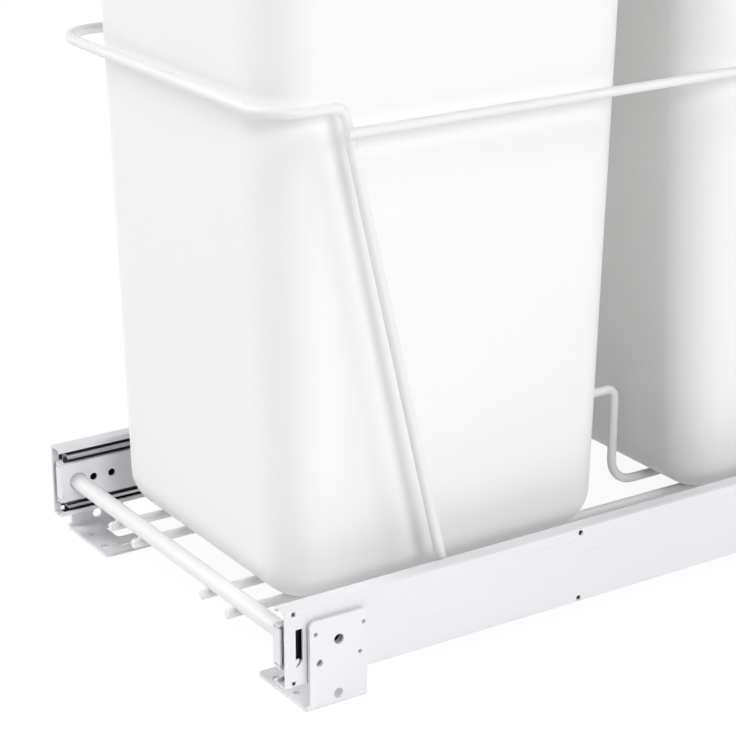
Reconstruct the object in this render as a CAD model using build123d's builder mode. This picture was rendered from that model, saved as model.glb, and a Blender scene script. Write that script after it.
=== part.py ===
from build123d import *
import math
import os

# Double pull-out waste-bin unit: a wire carriage for two bins on a pair of ball-bearing slides,
# which stand on four angle brackets screwed to the cabinet floor.
# Millimetres. +X is the right-hand side, -Y the front that is pulled, +Z up.
# The origin is on the floor, under the middle of the unit.

# ---------------------------------------------------------------- driving dimensions
unit_width = 284.0  # across the outer faces of the brackets
unit_height = 489.0  # floor to the top of the bins
slide_length = 552.0  # outer slide member, front to rear
travel_shortfall = 22.0  # full-extension slides roll out this much less than their length

# Slides: three nested rolled channels a side
slide_height = 45.3  # outer member, flange to flange
slide_depth = 12.7  # web of the outer member to the face of the inner one
slide_sheet = 1.2
slide_floor_gap = 15.0  # floor to the underside of the outer member
flange_reach = 10.6  # outer flange, from the web's face to the lip
lip_height = 3.05  # turned-in lip of the outer flange
middle_height = 35.3
middle_web_depth = 3.2  # web's face, behind the outer member's face
middle_reach = 11.4
middle_lip = 2.55
middle_setback = 5.5  # how far the middle member's ends lie behind the outer one's
inner_height = 25.0
inner_flange_depth = 5.6
inner_lip = 1.9
inner_tab_height = 20.8  # folded front end of the inner member
fold_radius = 1.0  # sheet bends, at the middle of the sheet
inner_fold_radius = 0.8

# Cut-outs in the outer member: distances from its end, heights from its middle
key_slot = [(6.3, 10.9), (10.7, 10.9), (10.7, -7.1), (8.6, -10.1), (6.8, -11.1)]
key_slot += [(6.6, -10.1), (8.2, -8.3), (8.8, -6.5), (6.3, -6.5)]
key_slot_round = 0.9
square_hole = 2.6
square_hole_setback = 5.2
edge_hole_inset = 2.5  # small holes, in from the slide's upper and lower edge
round_hole_radius = 1.6
round_hole_setback = 193.5
access_hole_radius = 3.4

# Round holes in the inner member, behind the bar
inner_hole_setbacks = (21.8, 34.2)
inner_hole_rise = 0.8  # above the bar
inner_hole_radius = 2.4

# Balls and the strips that space them
ball_radius = 1.95
ball_clearance = 0.3
ball_hole_clearance = 0.15
balls_per_row = 12
cage_margin = 36.0  # what a cage is shorter than the members' overlap when pulled out
cage_sheet = 0.7
outer_row_depth = 6.4
outer_cage_gap = 0.7  # outer web to cage
inner_row_depth = 8.4
inner_cage_gap = 0.25  # middle web to cage
cage_leg_overhang = 2.6  # from the ball's centre to the edge of the strip

# Rubber buffer at the rear end of each outer member
bumper_height = 12.0
bumper_depth = 8.0
bumper_gap = 0.3
bumper_round = 1.0

# Floor brackets
bracket_sheet = 2.0
bracket_height = 52.3
bracket_length = 37.6
bracket_flange = 52.0  # from the outer face to the inner edge
bracket_setback = 10.8  # behind the slide's end
bracket_fold = 1.8
bracket_corner = 3.0
bracket_step = 1.8  # how far the plate's front edge lies behind the flange's
flange_notch_start = 18.2  # notch in the flange, from the bracket's outer end
flange_notch_width = 19.0
flange_notch_inset = 13.0  # notch to the bracket's outer face
flange_notch_round = 2.0
pad_height = 1.9  # spacer pads between the bracket and the slide
pad_radius = 4.0

# Holes and pads of a bracket's plate: (distance from the bracket's outer end, height)
plate_hole = (19.8, 38.6)
plate_hole_radius = 2.95
small_plate_holes = [(5.6, 44.7), (35.2, 44.6), (33.0, 27.7)]
small_plate_radius = 1.25
pilot_plate_hole = (7.8, 27.6)
pilot_plate_radius = 2.0
low_plate_hole = (19.4, 6.9)
low_plate_radius = 2.9
pads = [(9.6, 37.0), (30.6, 36.5), (20.2, 23.0)]
# Holes of its flange: (distance from the bracket's outer end, distance in from its outer face)
screw_hole = (5.4, 40.0)
screw_hole_radius = 2.75
small_flange_hole = (5.4, 20.2)
small_flange_radius = 2.0
flange_slot = (19.4, 42.2)
flange_slot_length = 12.0
flange_slot_width = 4.5

# Carriage wires
bar_diameter = 10.0
bar_setback = 11.2  # slide's end to the bar's centre
bar_hole_clearance = 0.45
bar_head_radius = 6.5
bar_head_thickness = 1.6
base_wire = 5.6
outer_wire_spread = 138.4  # between the centres of the two outer base wires
inner_wire_spread = 81.0
stub_setback = 4.0  # slide's end to the wire ends that stick out past the bar
hump_length = 37.0  # between the legs of the raised hump
hump_rise = 63.0
hump_top_bend = 6.0
hump_foot_bend = 16.5
weld_gap = 0.05  # between wires that are welded where they touch
wire_end_round = 0.8

# Hoops and side rails
hoop_wire = 6.0
hoop_height = 317.0
hoop_setback = 7.2  # slide's end to the hoop's cross run
hoop_corner = 24.0
hoop_lean = 3.7  # how far each leg leans inwards from foot to top
hoop_shoulder = 49.2  # slide's end to the bend at the top of the leg
hoop_shoulder_bend = 6.5
hoop_foot_setback = 115.8
hoop_foot_height = 30.0
rail_wire = 5.4
rail_drop = 12.6  # hoop's centre down to the side rail's
rail_setback = 47.6

# Bins
bin_wall = 2.2
bin_rest_gap = 0.3
bin_side_clearance = 12.7  # bin to hoop wire, at the hoop's height
bin_end_clearance = 6.2
bin_gap_at_floor = 64.4
bin_side_taper = 0.0195  # growth in half-width for each unit of height
bin_end_taper = 0.0287
bin_corner_at_floor = 26.0
bin_corner_growth = 0.03
bin_floor_round = 24.5
rim_width = 7.0
rim_thickness = 3.0
rim_skirt = 13.0
rim_round = 2.0

# ---------------------------------------------------------------- sizes that follow
half_length = slide_length / 2
web_x = unit_width / 2 - bracket_sheet - pad_height  # outer face of the outer member's web
slide_mid_z = slide_floor_gap + slide_height / 2
plate_face_x = web_x - slide_depth  # inner member's face, which the wires are welded to

outer_gap = (slide_height - 2 * slide_sheet - middle_height) / 2
outer_row_height = middle_height / 2 + outer_gap / 2
inner_gap = (middle_height - 2 * slide_sheet - inner_height) / 2
inner_row_height = inner_height / 2 + inner_gap / 2
groove_radius = ball_radius + ball_clearance
middle_length = slide_length - 2 * middle_setback
carriage_travel = slide_length - travel_shortfall
cage_length = middle_length - carriage_travel / 2 - cage_margin

bar_z = slide_mid_z
base_wire_z = bar_z - bar_diameter / 2 - weld_gap - base_wire / 2
hoop_foot_x = plate_face_x - weld_gap - hoop_wire / 2
hoop_x = hoop_foot_x - hoop_lean
hoop_leg_rise = hoop_height - hoop_foot_height
rail_z = hoop_height - rail_drop
rail_share = (rail_z - hoop_foot_height) / hoop_leg_rise
rail_x = hoop_foot_x - hoop_lean * rail_share + hoop_wire / 2 + weld_gap + rail_wire / 2

bin_floor_z = base_wire_z + base_wire / 2 + bin_rest_gap
bin_height = unit_height - bin_floor_z
hoop_above_floor = hoop_height - bin_floor_z
bin_half_width = hoop_x - hoop_wire / 2 - bin_side_clearance - bin_side_taper * hoop_above_floor
bin_outer_end = half_length - hoop_setback - hoop_wire / 2 - bin_end_clearance
bin_outer_end -= bin_end_taper * hoop_above_floor  # back to the floor of the bin
bin_inner_end = bin_gap_at_floor / 2
bin_middle_y = (bin_outer_end + bin_inner_end) / 2
bin_half_length = (bin_outer_end - bin_inner_end) / 2

SIDES = ((-1, "left"), (1, "right"))
ENDS = ((-1, "front"), (1, "rear"))

os.makedirs("parts", exist_ok=True)


def save(piece, name):
    """Label a finished piece and write it."""
    piece.part.label = name
    export_step(piece.part, f"parts/{name}.step")


def along(end, distance):
    """Y of a point that lies the distance in from the front (-1) or rear (+1) end."""
    return end * (half_length - distance)


def across(side, depth):
    """X of a point that lies the depth in from the outer face of the slide's web."""
    return side * (web_x - depth)


def channel(side, points, sheet, bend, grooves=()):
    """Section of a rolled channel: its half above the middle as (depth, height), mirrored below."""
    whole = list(points) + [(depth, -height) for depth, height in reversed(points)]
    corners = [(across(side, depth), slide_mid_z + height) for depth, height in whole]
    with BuildLine(Plane.XY) as route:
        FilletPolyline(*corners, radius=bend)
    trace(route.line, line_width=sheet)
    for depth, height in grooves:
        with Locations(*[(across(side, depth), slide_mid_z + sign * height) for sign in (-1, 1)]):
            Circle(groove_radius, mode=Mode.SUBTRACT)


def section_plane(y):
    """Upright plane across the unit at y, whose normal points to the front."""
    return Plane.XZ.offset(-y)


def side_plane(x, side):
    """Upright plane along the unit at x, facing out; its own axes are (side * Y, Z)."""
    return Plane(origin=(x, 0, 0), x_dir=(0, side, 0), z_dir=(side, 0, 0))


def ball_places(side, depth, height):
    """Centres of one cage's balls: a row above and a row below, spread over the cage."""
    pitch = cage_length / balls_per_row
    first = -cage_length / 2 + pitch / 2
    return [
        (across(side, depth), first + pitch * number, slide_mid_z + sign * height)
        for number in range(balls_per_row)
        for sign in (-1, 1)
    ]


def round_wire_ends(piece):
    """Take the sharp edge off the cut ends of a wire."""
    rims = [
        edge
        for edge in piece.edges().filter_by(GeomType.CIRCLE)
        if any(face.geom_type == GeomType.PLANE for face in piece.faces() if edge in face.edges())
    ]
    fillet(rims, wire_end_round)


# ---------------------------------------------------------------- slides
outer_row = (outer_row_depth, outer_row_height)
inner_row = (inner_row_depth, inner_row_height)
half_sheet = slide_sheet / 2

for side, hand in SIDES:
    # Outer member: fixed channel with lips that hold the balls in
    with BuildPart() as slide_outer:
        with BuildSketch(section_plane(half_length)):
            flange = slide_height / 2 - half_sheet
            lip_depth = flange_reach - half_sheet
            lip_end = slide_height / 2 - lip_height
            profile = [(lip_depth, lip_end), (lip_depth, flange), (half_sheet, flange)]
            channel(side, profile, slide_sheet, fold_radius, [outer_row])
        extrude(amount=slide_length)
        with BuildSketch(side_plane(across(side, 0), side)):
            for end, _ in ENDS:
                with BuildLine():
                    slot = [(side * along(end, y), slide_mid_z + z) for y, z in key_slot]
                    Polyline(*slot, close=True)
                slot_face = make_face()
                fillet(slot_face.vertices().group_by(Axis.Y)[-1], key_slot_round)
                for sign in (-1, 1):
                    edge_z = slide_mid_z + sign * (slide_height / 2 - edge_hole_inset)
                    with Locations((side * along(end, square_hole_setback), edge_z)):
                        Rectangle(square_hole, square_hole)
                    with Locations((side * along(end, round_hole_setback), edge_z)):
                        Circle(round_hole_radius)
                hole_y, hole_z = plate_hole
                with Locations((side * along(end, bracket_setback + hole_y), hole_z)):
                    Circle(access_hole_radius)
        extrude(amount=-2 * slide_sheet, mode=Mode.SUBTRACT)
    save(slide_outer, f"slide_outer_{hand}")

    # Middle member: runs between the two rows of balls, and carries the inner one on a second pair
    with BuildPart() as slide_middle:
        with BuildSketch(section_plane(middle_length / 2)):
            flange = middle_height / 2 - half_sheet
            lip_depth = middle_reach - half_sheet
            web_depth = middle_web_depth + half_sheet
            profile = [(lip_depth, middle_height / 2 - middle_lip), (lip_depth, flange), (web_depth, flange)]
            channel(side, profile, slide_sheet, fold_radius, [outer_row, inner_row])
        extrude(amount=middle_length)
    save(slide_middle, f"slide_middle_{hand}")

    # Inner member: the plate that the carriage is welded to, with its front end folded outwards
    with BuildPart() as slide_inner:
        with BuildSketch(section_plane(half_length)):
            flange = inner_height / 2 - half_sheet
            lip_depth = inner_flange_depth + half_sheet
            face_depth = slide_depth - half_sheet
            lip_top = inner_height / 2 - slide_sheet + inner_lip
            profile = [(lip_depth, lip_top), (lip_depth, flange), (face_depth, flange)]
            channel(side, profile, slide_sheet, inner_fold_radius, [inner_row])
        extrude(amount=slide_length)
        with BuildSketch(section_plane(along(-1, slide_sheet))):
            tab_width = slide_depth - inner_flange_depth
            with Locations((across(side, slide_depth - tab_width / 2), slide_mid_z)):
                Rectangle(tab_width, inner_tab_height)
        extrude(amount=slide_sheet)
        with BuildSketch(side_plane(side * plate_face_x, side)):
            for end, _ in ENDS:
                with Locations((side * along(end, bar_setback), bar_z)):
                    Circle(bar_diameter / 2 + bar_hole_clearance)
                for setback in inner_hole_setbacks:
                    with Locations((side * along(end, setback), bar_z + inner_hole_rise)):
                        Circle(inner_hole_radius)
        extrude(amount=2 * slide_sheet, mode=Mode.SUBTRACT)
    save(slide_inner, f"slide_inner_{hand}")

    # Ball cages: thin strips with a leg above and below, each leg drilled for its row of balls
    cages = (
        ("outer", outer_row, slide_sheet + outer_cage_gap),
        ("inner", inner_row, middle_web_depth + slide_sheet + inner_cage_gap),
    )
    for place, (row_depth, row_height), cage_depth in cages:
        ball_centres = ball_places(side, row_depth, row_height)
        with BuildPart() as cage:
            with BuildSketch(section_plane(cage_length / 2)):
                web_depth = cage_depth + cage_sheet / 2
                profile = [(row_depth + cage_leg_overhang, row_height), (web_depth, row_height)]
                channel(side, profile, cage_sheet, fold_radius)
            extrude(amount=cage_length)
            with Locations(*ball_centres):
                Cylinder(ball_radius + ball_hole_clearance, 3 * ball_radius, mode=Mode.SUBTRACT)
        save(cage, f"ball_cage_{place}_{hand}")

        with BuildPart() as balls:
            with Locations(*ball_centres):
                Sphere(ball_radius)
        save(balls, f"balls_{place}_{hand}")

    # Buffer that the middle member comes to rest against
    with BuildPart() as bumper:
        with BuildSketch(side_plane(across(side, slide_sheet), side)):
            bumper_length = middle_setback - bumper_gap
            with Locations((side * along(1, bumper_length / 2), slide_mid_z)):
                Rectangle(bumper_length, bumper_height)
        extrude(amount=-bumper_depth)
        fillet(bumper.edges().filter_by(Axis.X), bumper_round)
    save(bumper, f"stop_bumper_{hand}")

    # Floor brackets: an angle whose plate stands outside the slide, held off it by spacer pads
    for end, place in ENDS:
        with BuildPart() as bracket:
            near_y = along(end, bracket_setback)
            far_y = along(end, bracket_setback + bracket_length)
            with BuildSketch(section_plane(max(near_y, far_y))):
                plate_x = side * (unit_width / 2 - bracket_sheet / 2)
                with BuildLine():
                    FilletPolyline(
                        (plate_x, bracket_height),
                        (plate_x, bracket_sheet / 2),
                        (side * (unit_width / 2 - bracket_flange), bracket_sheet / 2),
                        radius=bracket_fold,
                    )
                trace(line_width=bracket_sheet)
            extrude(amount=bracket_length)
            with BuildSketch(side_plane(side * (unit_width / 2), side)):
                step_y = along(end, bracket_setback + bracket_step / 2)
                fold_top = bracket_fold + bracket_sheet
                with Locations((side * step_y, (bracket_height + fold_top) / 2)):
                    Rectangle(bracket_step, bracket_height - fold_top)
            extrude(amount=-bracket_sheet, mode=Mode.SUBTRACT)
            fillet(bracket.edges().filter_by(Axis.X).group_by(Axis.Z)[-1], bracket_corner)
            inner_edges = bracket.edges().filter_by(Axis.Z).sort_by(lambda edge: abs(edge.center().X))[:2]
            fillet(inner_edges, bracket_corner)
            with BuildSketch(side_plane(side * (unit_width / 2), side)):
                plate_holes = [(plate_hole, plate_hole_radius), (pilot_plate_hole, pilot_plate_radius)]
                plate_holes += [(low_plate_hole, low_plate_radius)]
                plate_holes += [(place_of, small_plate_radius) for place_of in small_plate_holes]
                for (y, z), radius in plate_holes:
                    with Locations((side * along(end, bracket_setback + y), z)):
                        Circle(radius)
            extrude(amount=-2 * bracket_sheet, mode=Mode.SUBTRACT)
            with BuildSketch(Plane.XY):
                flange_holes = [(screw_hole, screw_hole_radius), (small_flange_hole, small_flange_radius)]
                for (y, inset), radius in flange_holes:
                    with Locations((side * (unit_width / 2 - inset), along(end, bracket_setback + y))):
                        Circle(radius)
                y, inset = flange_slot
                with Locations((side * (unit_width / 2 - inset), along(end, bracket_setback + y))):
                    SlotOverall(flange_slot_length, flange_slot_width, rotation=90)
                notch_x = side * (unit_width / 2 - flange_notch_inset - flange_notch_width / 2)
                notch_length = bracket_length - flange_notch_start
                notch_y = along(end, bracket_setback + flange_notch_start + notch_length)
                with Locations((notch_x, notch_y)):
                    RectangleRounded(flange_notch_width, 2 * notch_length, flange_notch_round)
            extrude(amount=bracket_sheet, mode=Mode.SUBTRACT)
            with BuildSketch(side_plane(side * (unit_width / 2 - bracket_sheet), side)):
                for y, z in pads:
                    with Locations((side * along(end, bracket_setback + y), z)):
                        Circle(pad_radius)
            extrude(amount=-pad_height)
        save(bracket, f"bracket_{place}_{hand}")


# ---------------------------------------------------------------- carriage
for end, place in ENDS:
    # Cross bar: runs through both inner members, with its ends headed over behind them
    with BuildPart() as cross_bar:
        bar_y = along(end, bar_setback)
        plate_back_x = plate_face_x + slide_sheet + weld_gap
        with BuildSketch(Plane.YZ.offset(-plate_back_x)):
            with Locations((bar_y, bar_z)):
                Circle(bar_diameter / 2)
        extrude(amount=2 * plate_back_x)
        for side, _ in SIDES:
            with BuildSketch(side_plane(side * plate_back_x, side)):
                with Locations((side * bar_y, bar_z)):
                    Circle(bar_head_radius)
            extrude(amount=bar_head_thickness)
    save(cross_bar, f"cross_bar_{place}")

    # Hoop: one bent wire, up from the left plate, round the bin and down to the right plate
    with BuildPart() as hoop:
        foot = (hoop_foot_x, along(end, hoop_foot_setback), hoop_foot_height)
        shoulder = (hoop_x, along(end, hoop_shoulder), hoop_height)
        corner = (hoop_x, along(end, hoop_setback), hoop_height)
        right_half = [corner, shoulder, foot]
        left_half = [(-x, y, z) for x, y, z in reversed(right_half)]
        with BuildLine() as route:
            bends = [hoop_shoulder_bend, hoop_corner, hoop_corner, hoop_shoulder_bend]
            FilletPolyline(*left_half, *right_half, radius=bends)
        with BuildSketch(Plane(origin=route.line @ 0, z_dir=route.line % 0)):
            Circle(hoop_wire / 2)
        sweep()
        round_wire_ends(hoop)
    save(hoop, f"hoop_{place}")

for side, hand in SIDES:
    # Outer base wire: straight, under both bars
    with BuildPart() as base_wire_outer:
        wire_length = slide_length - 2 * stub_setback
        with BuildSketch(section_plane(wire_length / 2)):
            with Locations((side * outer_wire_spread / 2, base_wire_z)):
                Circle(base_wire / 2)
        extrude(amount=wire_length)
        round_wire_ends(base_wire_outer)
    save(base_wire_outer, f"base_wire_outer_{hand}")

    # Inner base wire: bent up into a hump in the middle, which keeps the bins apart
    with BuildPart() as base_wire_inner:
        wire_x = side * inner_wire_spread / 2
        hump_top = base_wire_z + hump_rise
        front_half = [
            (wire_x, along(-1, stub_setback), base_wire_z),
            (wire_x, -hump_length / 2, base_wire_z),
            (wire_x, -hump_length / 2, hump_top),
        ]
        rear_half = [(x, -y, z) for x, y, z in reversed(front_half)]
        with BuildLine() as route:
            bends = [hump_foot_bend, hump_top_bend, hump_top_bend, hump_foot_bend]
            FilletPolyline(*front_half, *rear_half, radius=bends)
        with BuildSketch(Plane(origin=route.line @ 0, z_dir=route.line % 0)):
            Circle(base_wire / 2)
        sweep()
        round_wire_ends(base_wire_inner)
    save(base_wire_inner, f"base_wire_humped_{hand}")

    # Side rail: joins the legs of the two hoops, on their outer side
    with BuildPart() as side_rail:
        rail_length = slide_length - 2 * rail_setback
        with BuildSketch(section_plane(rail_length / 2)):
            with Locations((side * rail_x, rail_z)):
                Circle(rail_wire / 2)
        extrude(amount=rail_length)
        round_wire_ends(side_rail)
    save(side_rail, f"side_rail_{hand}")


# ---------------------------------------------------------------- bins
def tapered_block(middle_y, inset, top_inset):
    """Tapered block with rounded corners and floor edge, the given amount inside the bin's skin."""
    sections = []
    for height in (inset, bin_height - top_inset):
        half_x = bin_half_width + bin_side_taper * height - inset
        half_y = bin_half_length + bin_end_taper * height - inset
        corner_radius = bin_corner_at_floor + bin_corner_growth * height - inset
        with BuildSketch(Plane.XY.offset(bin_floor_z + height)) as section:
            with Locations((0, middle_y)):
                RectangleRounded(2 * half_x, 2 * half_y, corner_radius)
        sections.append(section.sketch)
    loft(sections)


for end, place in ENDS:
    # Bin: a moulded, tapered tub with an outward rolled rim
    with BuildPart() as bin_shell:
        tapered_block(end * bin_middle_y, 0, 0)
        fillet(bin_shell.edges().group_by(Axis.Z)[0], bin_floor_round)
        rim_half_x = bin_half_width + bin_side_taper * bin_height + rim_width
        rim_half_y = bin_half_length + bin_end_taper * bin_height + rim_width
        rim_corner = bin_corner_at_floor + bin_corner_growth * bin_height + rim_width
        with BuildSketch(Plane.XY.offset(unit_height - rim_skirt)):
            with Locations((0, end * bin_middle_y)):
                RectangleRounded(2 * rim_half_x, 2 * rim_half_y, rim_corner)
        extrude(amount=rim_skirt)
        fillet(bin_shell.edges().group_by(Axis.Z)[-1], rim_round)
        with BuildSketch(Plane.XY.offset(unit_height - rim_skirt)):
            with Locations((0, end * bin_middle_y)):
                RectangleRounded(
                    2 * (rim_half_x - bin_wall), 2 * (rim_half_y - bin_wall), rim_corner - bin_wall
                )
                neck_x = 2 * (rim_half_x - rim_width)
                neck_y = 2 * (rim_half_y - rim_width)
                RectangleRounded(neck_x, neck_y, rim_corner - rim_width, mode=Mode.SUBTRACT)
        extrude(amount=rim_skirt - rim_thickness, mode=Mode.SUBTRACT)
        with BuildPart(mode=Mode.PRIVATE) as cavity:
            tapered_block(end * bin_middle_y, bin_wall, 0)
            fillet(cavity.edges().group_by(Axis.Z)[0], bin_floor_round - bin_wall)
        add(cavity.part, mode=Mode.SUBTRACT)
    save(bin_shell, f"bin_{place}")
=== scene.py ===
import bmesh
import bpy
import math
from mathutils import Matrix, Vector, noise


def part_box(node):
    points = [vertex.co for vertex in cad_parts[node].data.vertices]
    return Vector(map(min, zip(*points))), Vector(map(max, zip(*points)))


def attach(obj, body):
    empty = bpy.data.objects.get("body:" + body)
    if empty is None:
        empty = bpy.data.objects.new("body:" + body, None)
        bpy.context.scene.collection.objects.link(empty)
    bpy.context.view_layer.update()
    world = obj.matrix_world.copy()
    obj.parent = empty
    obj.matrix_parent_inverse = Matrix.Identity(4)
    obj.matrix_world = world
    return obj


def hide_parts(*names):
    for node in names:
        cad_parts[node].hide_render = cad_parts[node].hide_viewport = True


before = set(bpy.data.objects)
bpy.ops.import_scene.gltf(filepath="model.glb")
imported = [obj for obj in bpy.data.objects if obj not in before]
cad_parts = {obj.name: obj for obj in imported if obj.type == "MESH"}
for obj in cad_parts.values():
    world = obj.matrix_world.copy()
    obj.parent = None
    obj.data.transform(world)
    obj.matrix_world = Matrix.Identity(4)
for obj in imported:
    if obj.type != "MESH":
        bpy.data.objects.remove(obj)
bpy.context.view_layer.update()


# ------------------------------------------------------------------ floor brackets
# Four pressed-steel angles screwed to the cabinet floor. Each holds its slide off its upright plate
# on three pressed pads. They are stamped from 2 mm sheet, folded, and then coated in baked white
# enamel, which fills the punched edges a little.
SIDES = ((-1, "left"), (1, "right"))
ENDS = ((-1, "front"), (1, "rear"))


class Number:
    """A number that changes over a surface: sums and products of it add Math nodes."""

    def __init__(self, finish, socket):
        self.finish, self.socket = finish, socket

    def __add__(self, other):
        return self.finish.maths("ADD", self, other)

    def __sub__(self, other):
        return self.finish.maths("SUBTRACT", self, other)

    def __rsub__(self, other):
        return self.finish.maths("SUBTRACT", other, self)

    def __mul__(self, other):
        return self.finish.maths("MULTIPLY", self, other)

    __radd__, __rmul__ = __add__, __mul__


class Finish:
    """A material, or the world, whose shader takes constants or nodes by the names of its sockets."""

    def __init__(self, name, constants, kind="materials"):
        self.material = getattr(bpy.data, kind).new(name)
        self.material.use_nodes = True
        self.tree = self.material.node_tree
        self.shader = self.tree.nodes["Background" if kind == "worlds" else "Principled BSDF"]
        self.drive(self.shader, constants)

    def drive(self, node, sockets):
        for name, value in sockets.items():
            if isinstance(value, Number):
                self.tree.links.new(value.socket, node.inputs[name])
            else:
                node.inputs[name].default_value = value

    def node(self, kind, settings=None, sockets=None, output=0):
        """Any node: its settings first, then its sockets' values or links. Gives one output."""
        made = self.tree.nodes.new(kind)
        for name, value in (settings or {}).items():
            setattr(made, name, value)
        self.drive(made, sockets or {})
        return Number(self, made.outputs[output])

    def grain(self, scale, stretch=(1, 1, 1), detail=2.0):
        """Noise between 0 and 1 with this many lumps to the metre, drawn out along an axis by stretch."""
        place = self.node("ShaderNodeTexCoord", output="Object")
        drawn = self.node("ShaderNodeMapping", sockets={"Vector": place, "Scale": stretch})
        return self.node("ShaderNodeTexNoise", sockets={"Vector": drawn, "Scale": scale, "Detail": detail})

    def axes(self):
        """The place on the object, as three numbers in metres."""
        place = self.node("ShaderNodeTexCoord", output="Object")
        return [self.node("ShaderNodeSeparateXYZ", sockets={"Vector": place}, output=axis) for axis in "XYZ"]

    def near(self, place, centre, reach):
        """1 where a place lies closer to the centre than the reach, and 0 elsewhere."""
        return self.maths("LESS_THAN", self.maths("ABSOLUTE", place - centre), reach)

    def tint(self, dark, light, amount):
        """Colour that goes from dark to light with the amount."""
        ends = [tone if isinstance(tone, Number) else (*tone, 1) for tone in (dark, light)]
        return self.node(
            "ShaderNodeMix",
            {"data_type": "RGBA", "clamp_factor": True},
            {0: amount, 6: ends[0], 7: ends[1]},
            output=2,
        )

    def relief(self, height, depth):
        """Bump of the given depth in metres."""
        bump = self.node("ShaderNodeBump", sockets={"Height": height, "Distance": depth, "Strength": 1.0})
        self.drive(self.shader, {"Normal": bump})

    def maths(self, operation, *values):
        return self.node("ShaderNodeMath", {"operation": operation}, dict(enumerate(values)))

    def surface(self, amount, plain, other):
        """Show two shaders mixed by the amount."""
        mixed = self.node("ShaderNodeMixShader", sockets={0: amount, 1: plain, 2: other})
        output = next(node for node in self.tree.nodes if node.bl_idname.startswith("ShaderNodeOutput"))
        self.drive(output, {"Surface": mixed})


def enamel(name, dark, light, roughness, orange_peel, gloss_change=0.10):
    """White coat over steel: an even colour, a slight orange-peel surface and fine specks of gloss."""
    finish = Finish(name, {"IOR": 1.5, "Specular IOR Level": 0.5})
    cloud = finish.grain(22.0)
    peel = finish.grain(620.0, detail=1.0)
    specks = finish.grain(90.0)
    finish.drive(finish.shader, {
        "Base Color": finish.tint(dark, light, cloud),
        "Roughness": roughness + gloss_change * (specks - 0.5),
    })
    finish.relief(peel, orange_peel)
    return finish.material


def dress(piece, body, slot, material, *nodes):
    """Give a finished piece its material, the body that it rides on and the CAD nodes that it stands for."""
    piece.data.materials.clear()
    piece.data.materials.append(material)
    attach(piece, body)
    if nodes:
        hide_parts(*nodes)
    return piece


def smooth_piece(name, bm, sharp=35.0):
    """A new object at the origin from a bmesh, shaded smooth but for its sharp edges."""
    mesh = bpy.data.meshes.new(name)
    bm.to_mesh(mesh)
    bm.free()
    mesh.shade_smooth()
    mesh.set_sharp_from_angle(angle=math.radians(sharp))
    piece = bpy.data.objects.new(name, mesh)
    bpy.context.scene.collection.objects.link(piece)
    return piece


def clean_copy(node, name, edge_round, sharp=35.0):
    """A CAD node's own shape as a clean mesh: its triangles merged, its sharp edges rounded over."""
    merge_gap, flat_angle = 2e-6, math.radians(0.5)
    bm = bmesh.new()
    bm.from_mesh(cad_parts[node].data)
    bmesh.ops.remove_doubles(bm, verts=bm.verts, dist=merge_gap)
    bmesh.ops.dissolve_limit(bm, angle_limit=flat_angle, verts=bm.verts, edges=bm.edges)
    piece = smooth_piece(name, bm, sharp)
    if edge_round:
        rounding = piece.modifiers.new("edges", "BEVEL")
        rounding.width, rounding.segments, rounding.limit_method = edge_round, 2, "ANGLE"
        rounding.angle_limit = math.radians(sharp)
        rounding.harden_normals = True
    return piece


sheet_edge = 0.00018  # rounding of cut edges under the coat
bracket_white = enamel(
    "bracket_enamel", (0.785, 0.79, 0.815), (0.825, 0.83, 0.855), roughness=0.34, orange_peel=0.000012
)
for end, place in ENDS:
    for side, hand in SIDES:
        node = f"bracket_{place}_{hand}"
        bracket = clean_copy(node, f"floor_{node}", sheet_edge)
        dress(bracket, "base", "bracket", bracket_white, node)


# ------------------------------------------------------------------ slides: outer and inner members
# The outer members are roll-formed channels whose lips hold the ball rows. The inner members are
# shallower channels that carry the wire carriage. Both are rolled from steel strip and white
# enamelled, and the rolls leave faint lines along them. The tracks inside are painted near black,
# as shade that falls into the channels.
strip_thickness = 0.0012
unshaded_end = 0.0042  # length of channel at each end that the painted shade leaves out
track_offset = 0.0120  # half the height of the web between the tracks
track_margin = 0.00005  # lets the strip's inner faces count as inside
slide_low, slide_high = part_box("slide_outer_right")
middle = (slide_low + slide_high) / 2
hollow = slide_high - middle - Vector([strip_thickness - track_margin] * 3)

slide_white = Finish("slide_enamel", {"IOR": 1.5})
roll_lines = slide_white.grain(700.0, stretch=(1, 0.012, 1), detail=1.0)
across, along, up = slide_white.axes()
# The absolute value lays the left slide on the right one, so that one mask serves both.
inside = slide_white.near(slide_white.maths("ABSOLUTE", across), middle.x, hollow.x)
inside *= slide_white.near(along, 0, slide_high.y - unshaded_end) * slide_white.near(up, middle.z, hollow.z)
# Painted shade: inside the channel, apart from the web's middle band and the ends, the colour goes near black
# where shade falls into the tracks.
painted_shade = inside * (1 - slide_white.near(up, middle.z, track_offset))
enamelled = slide_white.tint((0.78, 0.775, 0.81), (0.82, 0.815, 0.85), slide_white.grain(16.0))
slide_white.drive(slide_white.shader, {
    "Base Color": slide_white.tint(enamelled, (0.05, 0.048, 0.045), painted_shade),
    "Roughness": 0.30 + 0.12 * (roll_lines - 0.5),
})
slide_white.relief(roll_lines, depth=0.000010)
for side, hand in SIDES:
    for member, body in (("outer", "base"), ("inner", "carriage")):
        node = f"slide_{member}_{hand}"
        rolled = clean_copy(node, f"{member}_slide_{hand}", sheet_edge)
        dress(rolled, body, "slide", slide_white.material, node)
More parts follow.
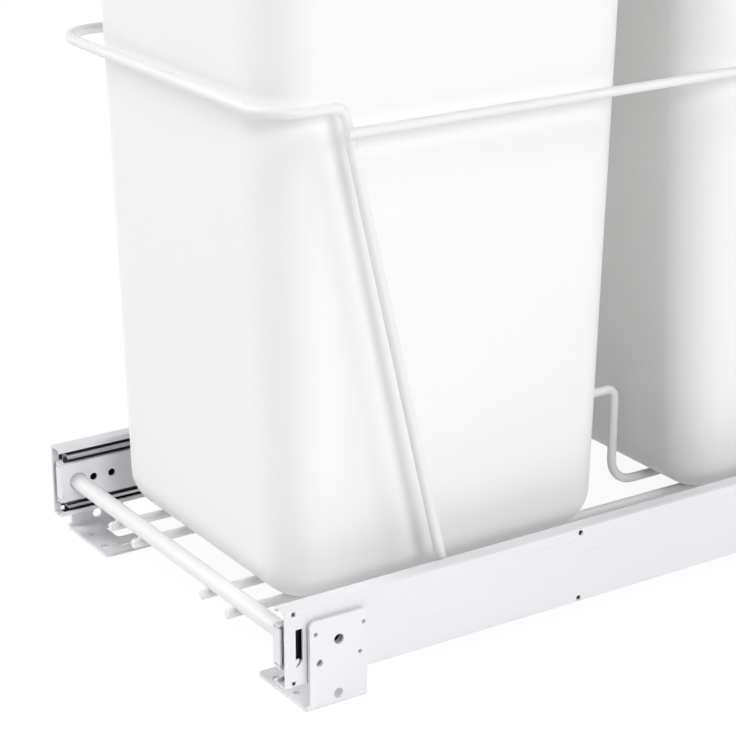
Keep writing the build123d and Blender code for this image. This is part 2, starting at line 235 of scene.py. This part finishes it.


# ------------------------------------------------------------------ slides: middle members
# The middle members run between the two rows of balls. They are zinc-plated and not painted, because
# balls roll on them inside and outside, and these tracks are burnished. Near the ends the middle of
# each web is painted near black, as shade that falls between the members.
# Length at each end of the web that is painted dark as shade, and how ragged the edge of that painted shade
# is.
shaded_end_length, shade_edge_raggedness = 0.045, 0.010
zinc = Finish("zinc_plate", {"Metallic": 1.0})
drawn = zinc.grain(900.0, stretch=(1, 0.01, 1), detail=2.0)
spangle = zinc.grain(140.0)
_, along, up = zinc.axes()
# Painted shade: the middle band of the web is coloured near black for a ragged stretch at each end.
shade_start = slide_high.y - shaded_end_length + shade_edge_raggedness * (zinc.grain(110.0) - 0.5)
painted_shade = zinc.near(up, middle.z, track_offset) * (1 - zinc.near(along, 0, shade_start))
plated = zinc.tint((0.36, 0.37, 0.39), (0.56, 0.57, 0.59), 0.5 * drawn + 0.5 * spangle)
zinc.drive(zinc.shader, {
    "Base Color": zinc.tint(plated, (0.03, 0.028, 0.026), painted_shade),
    "Roughness": 0.30 + 0.18 * drawn,
})
zinc.relief(drawn, depth=0.000008)
for side, hand in SIDES:
    node = f"slide_middle_{hand}"
    rolled = clean_copy(node, f"middle_slide_{hand}", sheet_edge)
    dress(rolled, f"middle_{hand}", "middle_member", zinc.material, node)


# ------------------------------------------------------------------ slides: balls, their strips and buffers
# Hardened steel balls roll in pressed steel strips that keep them apart, and grease darkens both.
# A rubber buffer closes the rear end of each outer member and stops the middle one softly.
strip_steel = Finish("greased_strip", {"Metallic": 1.0})
grease = strip_steel.grain(160.0, detail=4.0)
strip_steel.drive(strip_steel.shader, {
    "Base Color": strip_steel.tint((0.10, 0.09, 0.08), (0.38, 0.38, 0.39), grease),
    "Roughness": 0.55 - 0.25 * grease,
})
ball_steel = Finish("ball_steel", {"Metallic": 1.0})
film = ball_steel.grain(900.0)
ball_steel.drive(ball_steel.shader, {
    "Base Color": ball_steel.tint((0.44, 0.44, 0.45), (0.66, 0.66, 0.68), film),
    "Roughness": 0.08 + 0.14 * film,
})
rubber = Finish("black_rubber", {"Specular IOR Level": 0.35})
bloom = rubber.grain(500.0, detail=4.0)
rubber.drive(rubber.shader, {
    "Base Color": rubber.tint((0.014, 0.014, 0.015), (0.035, 0.035, 0.036), bloom),
    "Roughness": 0.62 + 0.2 * bloom,
})
rubber.relief(bloom, depth=0.00003)
for side, hand in SIDES:
    for place in ("outer", "inner"):
        for kind, made_of, slot in (("ball_cage", strip_steel, "cage"), ("balls", ball_steel, "balls")):
            node = f"{kind}_{place}_{hand}"
            piece = clean_copy(node, f"{place}_{kind}_{hand}", 0, sharp=50.0)
            dress(piece, f"cage_{place}_{hand}", slot, made_of.material, node)
    node = f"stop_bumper_{hand}"
    buffer = clean_copy(node, f"rear_buffer_{hand}", sheet_edge)
    dress(buffer, "base", "bumper", rubber.material, node)


# ------------------------------------------------------------------ cross bars
# Two 10 mm steel bars hold the sides of the carriage together. Each passes through both inner
# members and is headed over behind them. The whole carriage is powder coated white after welding.
powder_white = enamel(
    "powder_coat", (0.80, 0.80, 0.795), (0.84, 0.84, 0.835), roughness=0.38, orange_peel=0.000020
)
bar_radius = 0.005
head_thickness, head_edge = 0.0016, 0.0003
head_dome, dome_fullness, dome_steps = 0.0007, 0.6, 5


def turned_bar(outline, centre, sides):
    """Bar along X through a centre, turned from half an outline of (distance from the middle, radius)."""
    bm = bmesh.new()
    whole = [(-x, r) for x, r in reversed(outline)] + list(outline)
    line = [bm.verts.new(centre + Vector((x, 0, r))) for x, r in whole]
    edges = [bm.edges.new(pair) for pair in zip(line, line[1:])]
    bmesh.ops.spin(
        bm, geom=line + edges, cent=centre, axis=(1, 0, 0), angle=math.tau, steps=sides, use_merge=True
    )
    bmesh.ops.remove_doubles(bm, verts=bm.verts, dist=1e-6)
    bmesh.ops.recalc_face_normals(bm, faces=bm.faces)
    return bm


for end, place in ENDS:
    node = f"cross_bar_{place}"
    low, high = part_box(node)
    head_radius, half = (high.z - low.z) / 2, high.x
    shoulder = half - head_thickness
    outline = [(shoulder, bar_radius), (shoulder, head_radius - head_edge)]
    outline.append((shoulder + head_edge, head_radius))
    for step in range(1, dome_steps + 1):
        turn = math.radians(90 * step / dome_steps)
        rise = head_dome * math.sin(turn)
        outline.append((half - head_dome + rise, head_radius * math.cos(turn) ** dome_fullness))
    bm = turned_bar(outline, Vector((0, (low.y + high.y) / 2, (low.z + high.z) / 2)), sides=40)
    dress(smooth_piece(f"{node}_rod", bm), "carriage", "wire", powder_white, node)


# ------------------------------------------------------------------ base wires
# Four wires welded under the bars carry the bins. Their cut ends stand out past the bars. The two
# inner wires rise in a hump at mid-length, which keeps the bins from sliding together.
def bent_wire(corners, bends, radius, end_round=0.0008, sides=32, bend_step=5.0):
    """Round wire on straight runs with an arc of the given radius at each corner, its ends rounded."""
    bm = bmesh.new()
    heading = (corners[1] - corners[0]).normalized()
    facing = heading.to_track_quat("Z", "Y").to_matrix().to_4x4()
    start = Matrix.Translation(corners[0]) @ facing
    bmesh.ops.create_circle(bm, cap_ends=True, segments=sides, radius=radius, matrix=start)
    bm.faces.ensure_lookup_table()
    tip, here = bm.faces[0], corners[0]

    def lengthen(tip, push):
        made = bmesh.ops.extrude_face_region(bm, geom=[tip])["geom"]
        moved = [part for part in made if isinstance(part, bmesh.types.BMVert)]
        bmesh.ops.translate(bm, verts=moved, vec=push)
        if here != corners[0]:
            bmesh.ops.delete(bm, geom=[tip], context="FACES_ONLY")
        return next(part for part in made if isinstance(part, bmesh.types.BMFace))

    for corner, after, bend in zip(corners[1:], corners[2:], bends):
        ahead = (after - corner).normalized()
        turn = heading.angle(ahead)
        reach = bend * math.tan(turn / 2)
        axis = heading.cross(ahead).normalized()
        arc_start = corner - heading * reach
        tip = lengthen(tip, arc_start - here)
        spun = bmesh.ops.spin(
            bm, geom=[tip, *tip.edges, *tip.verts], cent=arc_start + axis.cross(heading) * bend,
            axis=axis, angle=turn, steps=max(2, round(math.degrees(turn) / bend_step)),
        )
        tip = next(part for part in spun["geom_last"] if isinstance(part, bmesh.types.BMFace))
        heading, here = ahead, corner + ahead * reach
    lengthen(tip, corners[-1] - here)
    rims = [edge for face in bm.faces if len(face.verts) == sides for edge in face.edges]
    bmesh.ops.bevel(
        bm, geom=rims, offset=end_round, offset_type="OFFSET", segments=3, profile=0.5,
        affect="EDGES", material=-1,
    )
    bmesh.ops.recalc_face_normals(bm, faces=bm.faces)
    return bm


hump_width = 0.037
hump_top_bend, hump_foot_bend = 0.006, 0.0165
for side, hand in SIDES:
    node = f"base_wire_outer_{hand}"
    low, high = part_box(node)
    base_radius = (high.x - low.x) / 2
    ends = [Vector(((low.x + high.x) / 2, y, low.z + base_radius)) for y in (low.y, high.y)]
    bm = bent_wire(ends, [], base_radius)
    dress(smooth_piece(f"outer_base_wire_{hand}", bm), "carriage", "wire", powder_white, node)

    node = f"base_wire_humped_{hand}"
    low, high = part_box(node)
    wire_x, wire_z, hump_z = (low.x + high.x) / 2, low.z + base_radius, high.z - base_radius
    leg_y = hump_width / 2
    outline = [(low.y, wire_z), (-leg_y, wire_z), (-leg_y, hump_z)]
    outline += [(leg_y, hump_z), (leg_y, wire_z), (high.y, wire_z)]
    bends = [hump_foot_bend, hump_top_bend, hump_top_bend, hump_foot_bend]
    bm = bent_wire([Vector((wire_x, y, z)) for y, z in outline], bends, base_radius)
    dress(smooth_piece(f"humped_base_wire_{hand}", bm), "carriage", "wire", powder_white, node)


# ------------------------------------------------------------------ hoops
# One 6 mm wire a hoop: up from the inside of the left slide, forward round the bin and down to the
# right slide. The feet are welded to the inner members.
hoop_lean = 0.0037
hoop_corner_bend, hoop_shoulder_bend = 0.024, 0.0065
foot_back, shoulder_back = 0.1086, 0.042  # behind the hoop's cross run
foot_height = 0.030
hoop_radius = 0.003
for end, place in ENDS:
    node = f"hoop_{place}"
    low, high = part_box(node)
    foot_x, top_z = high.x - hoop_radius, high.z - hoop_radius
    run_y = end * (max(abs(low.y), abs(high.y)) - hoop_radius)
    hoop_x = foot_x - hoop_lean
    right = [
        Vector((hoop_x, run_y, top_z)),
        Vector((hoop_x, run_y - end * shoulder_back, top_z)),
        Vector((foot_x, run_y - end * foot_back, foot_height)),
    ]
    left = [Vector((-point.x, point.y, point.z)) for point in reversed(right)]
    bends = [hoop_shoulder_bend, hoop_corner_bend, hoop_corner_bend, hoop_shoulder_bend]
    bm = bent_wire(left + right, bends, hoop_radius)
    dress(smooth_piece(f"bin_hoop_{place}", bm), "carriage", "wire", powder_white, node)


# ------------------------------------------------------------------ side rails
# A straight wire a side joins the two hoops just under their tops, on the outside of their legs.
for side, hand in SIDES:
    node = f"side_rail_{hand}"
    low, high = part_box(node)
    rail_radius = (high.x - low.x) / 2
    ends = [Vector(((low.x + high.x) / 2, y, low.z + rail_radius)) for y in (low.y, high.y)]
    bm = bent_wire(ends, [], rail_radius)
    dress(smooth_piece(f"rail_{hand}", bm), "carriage", "wire", powder_white, node)


# ------------------------------------------------------------------ welds of the carriage
# Resistance welds where the wires cross the bars and where the rails cross the hoops, and two short
# beads at each hoop's foot. The powder coat covers them. Both hoops have the sizes found for the last.
def nugget(bm, place, size, seed, unevenness=0.10, lumps=1.7):
    """One lump of weld metal of the given half sizes, slightly uneven."""
    made = bmesh.ops.create_icosphere(bm, subdivisions=3, radius=1.0)["verts"]
    for vert in made:
        vert.co *= 1 + unevenness * noise.noise(vert.co * lumps + Vector((seed, 0, 0)))
    bmesh.ops.scale(bm, vec=size, verts=made)
    bmesh.ops.translate(bm, vec=place, verts=made)


bar_low, bar_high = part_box("cross_bar_front")
bar_y = (bar_low.y + bar_high.y) / 2
bar_under = (bar_low.z + bar_high.z) / 2 - bar_radius
bar_weld, rail_weld, foot_weld = (0.0030, 0.0034, 0.0014), (0.0013, 0.0032, 0.0030), (0.0013, 0.0014, 0.0015)
bm = bmesh.new()
for kind in ("outer", "humped"):
    for side, hand in SIDES:
        low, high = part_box(f"base_wire_{kind}_{hand}")
        for end, _ in ENDS:
            nugget(bm, Vector(((low.x + high.x) / 2, -end * bar_y, bar_under)), bar_weld, end + side)
dress(smooth_piece("welds_at_bars", bm), "carriage", "wire", powder_white)

leg_slope = (foot_back - shoulder_back) / (top_z - foot_height)
bm = bmesh.new()
for side, hand in SIDES:
    low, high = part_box(f"side_rail_{hand}")
    rail_z = (low.z + high.z) / 2
    touch_x = low.x if side > 0 else high.x
    for end, _ in ENDS:
        leg_y = end * (abs(run_y) - shoulder_back - leg_slope * (top_z - rail_z))
        nugget(bm, Vector((touch_x, leg_y, rail_z)), rail_weld, end - side)
dress(smooth_piece("welds_at_rails", bm), "carriage", "wire", powder_white)

bead_length, bead_start, bead_steps = 0.015, 0.002, 9
bead_spread, bead_sink = 0.0030, 0.0004
bm = bmesh.new()
for side, hand in SIDES:
    for end, _ in ENDS:
        for edge in (-1, 1):
            for step in range(bead_steps):
                rise = bead_start + bead_length * step / (bead_steps - 1)
                bead_x = side * (foot_x + hoop_radius - bead_sink)
                bead_y = end * (abs(run_y) - foot_back + leg_slope * rise) + edge * bead_spread
                nugget(bm, Vector((bead_x, bead_y, foot_height + rise)), foot_weld, step + 10 * edge + side)
dress(smooth_piece("welds_at_feet", bm), "carriage", "wire", powder_white)


# ------------------------------------------------------------------ bins
# Two injection-moulded polypropylene tubs, tapered so that they nest and leave the mould, with large
# round corners, a hollow rolled rim and a shallow foot ring. The mould's eroded surface makes them matt.
wall, rim_width, rim_thickness, rim_skirt, rim_round = 0.0022, 0.007, 0.003, 0.013, 0.002
side_taper, end_taper, corner_growth = 0.0195, 0.0287, 0.03
floor_corner, floor_round, least_corner = 0.026, 0.0245, 0.002
foot_ring_width, foot_ring_depth = 0.004, 0.0007
draft = 0.0002  # fall of the faces that lie flat in the mould
corner_steps, round_steps = 18, 12

plastic = Finish("white_polypropylene", {"IOR": 1.49, "Specular IOR Level": 0.45})
eroded = plastic.grain(1500.0, detail=1.0)
flow = plastic.grain(5.0, stretch=(1, 1, 0.35))
sheen = plastic.grain(40.0)
plastic.drive(plastic.shader, {
    "Base Color": plastic.tint((0.865, 0.865, 0.86), (0.885, 0.885, 0.88), flow),
    "Roughness": 0.46 + 0.08 * (sheen - 0.5),
})
plastic.relief(eroded, depth=0.000014)


def tub_ring(bm, half_x, half_y, corner, middle_y, z):
    """Closed loop of edges round a rectangle with rounded corners."""
    flat = Matrix.Translation((0, middle_y, z)) @ Matrix.Diagonal((half_x, half_y, 1, 1))
    corners = bmesh.ops.create_grid(bm, x_segments=1, y_segments=1, size=1.0, matrix=flat)["verts"]
    rounded = bmesh.ops.bevel(
        bm, geom=corners, offset=corner, offset_type="OFFSET", segments=corner_steps, profile=0.5,
        affect="VERTICES", material=-1,
    )["verts"]
    face = rounded[0].link_faces[0]
    edges = list(face.edges)
    bmesh.ops.delete(bm, geom=[face], context="FACES_ONLY")
    return edges


for end, place in ENDS:
    node = f"bin_{place}"
    low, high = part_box(node)
    middle_y, height = (low.y + high.y) / 2, high.z - low.z
    neck_x, neck_y = high.x - rim_width, (high.y - low.y) / 2 - rim_width

    def skin(z, inset):
        """Sizes of the tapered skin at a height, drawn in by the inset."""
        drop = height - z
        corner = max(floor_corner + corner_growth * z - inset, least_corner)
        return neck_x - side_taper * drop - inset, neck_y - end_taper * drop - inset, corner, z

    def rim(z, out):
        """Sizes of the upright rim, which stands out from the top of the skin."""
        return neck_x + out, neck_y + out, floor_corner + corner_growth * height + out, z

    quarter = [math.radians(90 * step / round_steps) for step in range(round_steps + 1)]
    inner_round = floor_round - wall
    rings = [skin(foot_ring_depth, floor_round + foot_ring_width + foot_ring_depth)]
    rings += [skin(draft, floor_round + foot_ring_width)]
    rings += [skin(floor_round * (1 - math.cos(a)), floor_round * (1 - math.sin(a))) for a in quarter]
    rings += [rim(height - rim_thickness - draft, 0), rim(height - rim_thickness, rim_width - wall)]
    rings += [rim(height - rim_skirt + draft, rim_width - wall), rim(height - rim_skirt, rim_width)]
    rings += [
        rim(height - rim_round * (1 - math.sin(a)), rim_width - rim_round * (1 - math.cos(a)))
        for a in quarter[::3]
    ]
    rings += [rim(height - draft, draft - wall), rim(height - 5 * draft, -wall)]
    rings += [
        skin(wall + inner_round * (1 - math.cos(a)), wall + inner_round * (1 - math.sin(a)))
        for a in reversed(quarter)
    ]
    bm = bmesh.new()
    loops = [tub_ring(bm, half_x, half_y, corner, middle_y, low.z + z) for half_x, half_y, corner, z in rings]
    for lower, upper in zip(loops, loops[1:]):
        bmesh.ops.bridge_loops(bm, edges=lower + upper)
    for opening in (loops[0], loops[-1]):
        bmesh.ops.contextual_create(bm, geom=opening)
    bmesh.ops.recalc_face_normals(bm, faces=bm.faces)
    tub = smooth_piece(f"waste_{node}", bm, sharp=50.0)
    tub.modifiers.new("even_normals", "WEIGHTED_NORMAL").keep_sharp = True
    dress(tub, node, "bin", plastic.material, node)


# ------------------------------------------------------------------ floor, light and camera
# A white studio floor under a sky that only the camera sees as white. Six soft boxes light the unit:
# three from the front left, which throw the hoops' shadows down the bins, and three from the right,
# which throw them forward. The camera looks at the front right corner from a little above.
floor_size = 12.0
floor_tone = (0.92, 0.92, 0.92)
shown_white = 0.86  # how much of the floor that the camera sees is plain white and not lit
glow_strength = 1.06
sky_strength = 0.20


def shows_white(finish):
    """1 for rays that show the background: to the camera, in gloss and through glass."""
    kinds = ("Camera", "Glossy", "Transmission")
    camera, gloss, glass = [finish.node("ShaderNodeLightPath", output=f"Is {kind} Ray") for kind in kinds]
    return finish.maths("MAXIMUM", finish.maths("MAXIMUM", camera, gloss), glass)


bm = bmesh.new()
bmesh.ops.create_grid(bm, x_segments=1, y_segments=1, size=floor_size / 2)
floor = smooth_piece("studio_floor", bm)
floor_white = Finish("floor_white", {"Base Color": (*floor_tone, 1), "Roughness": 0.9})
floor_white.surface(
    shown_white * shows_white(floor_white),
    Number(floor_white, floor_white.shader.outputs[0]),
    floor_white.node("ShaderNodeEmission", sockets={"Strength": glow_strength}),
)
floor.data.materials.append(floor_white.material)

sky = Finish("studio_sky", {"Color": (1, 1, 1, 1), "Strength": sky_strength}, kind="worlds")
sky.surface(
    shows_white(sky),
    Number(sky, sky.shader.outputs[0]),
    sky.node("ShaderNodeBackground", sockets={"Color": (1, 1, 1, 1), "Strength": 1.0}),
)
bpy.context.scene.world = sky.material

unit_middle = Vector((0, 0, 0.24))
lamp_distance = 5.0
lamps = (  # name, azimuth and elevation in degrees, width in metres, watts
    ("left_box", -50, 15, 2.6, 22.0),
    ("front_box", -37, 32, 2.6, 118.0),
    ("high_left_box", -45, 48, 1.6, 32.0),
    ("side_box", 78, 22, 1.3, 85.0),
    ("high_right_box", 100, 52, 1.6, 52.0),
    ("rear_right_box", 130, 20, 2.6, 46.0),
)
for name, azimuth, elevation, width, power in lamps:
    turn, rise = math.radians(azimuth), math.radians(elevation)
    light = bpy.data.lights.new(name, "AREA")
    light.shape, light.size, light.energy = "SQUARE", width, power
    lamp = bpy.data.objects.new(name, light)
    outward = Vector((math.sin(turn) * math.cos(rise), -math.cos(turn) * math.cos(rise), math.sin(rise)))
    lamp.location = unit_middle + lamp_distance * outward
    lamp.rotation_euler = outward.to_track_quat("Z", "Y").to_euler()
    bpy.context.scene.collection.objects.link(lamp)

camera_azimuth, camera_elevation = math.radians(56.90), math.radians(20.20)
camera_place = Vector((1.0553, -0.8226, 0.5876))
camera_lens = 112.1
eye = bpy.data.cameras.new("camera")
eye.lens, eye.sensor_width = camera_lens, 36.0
eye.clip_start, eye.clip_end = 0.05, 30.0
camera = bpy.data.objects.new("camera", eye)
camera.location = camera_place
camera.rotation_euler = (math.pi / 2 - camera_elevation, 0, camera_azimuth)
bpy.context.scene.collection.objects.link(camera)
bpy.context.scene.camera = camera

bpy.context.scene.view_settings.view_transform = "Standard"
